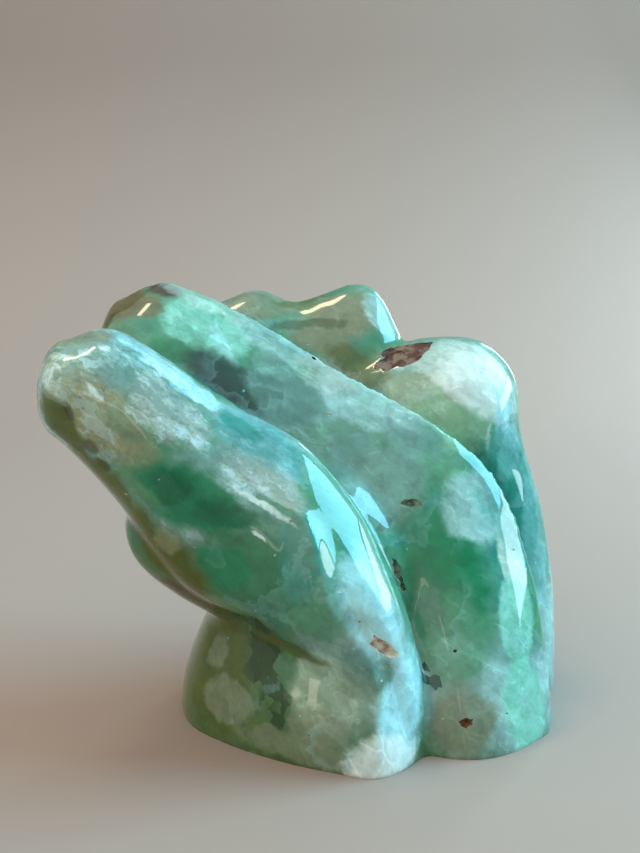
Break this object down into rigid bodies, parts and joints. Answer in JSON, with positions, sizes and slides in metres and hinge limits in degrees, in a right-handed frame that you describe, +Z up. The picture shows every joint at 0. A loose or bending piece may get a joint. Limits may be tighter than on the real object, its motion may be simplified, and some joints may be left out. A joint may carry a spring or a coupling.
{
  "type": "fluorite freeform",
  "caption": "Polished green fluorite freeform of flame-like ridges that lean over a flat ground base.",
  "frame": {"origin": "the middle of the stone's box, on the surface that it stands on", "axes": "+X to the picture's right, along which the ridges run down from their tips; +Y to the back; +Z up"},
  "size_m": [0.0949, 0.0611, 0.0799],
  "materials": {
    "fluorite": "polished"
  },
  "bodies": {
    "root": {"fluorite_freeform": "fluorite"}
  },
  "joints": []
}
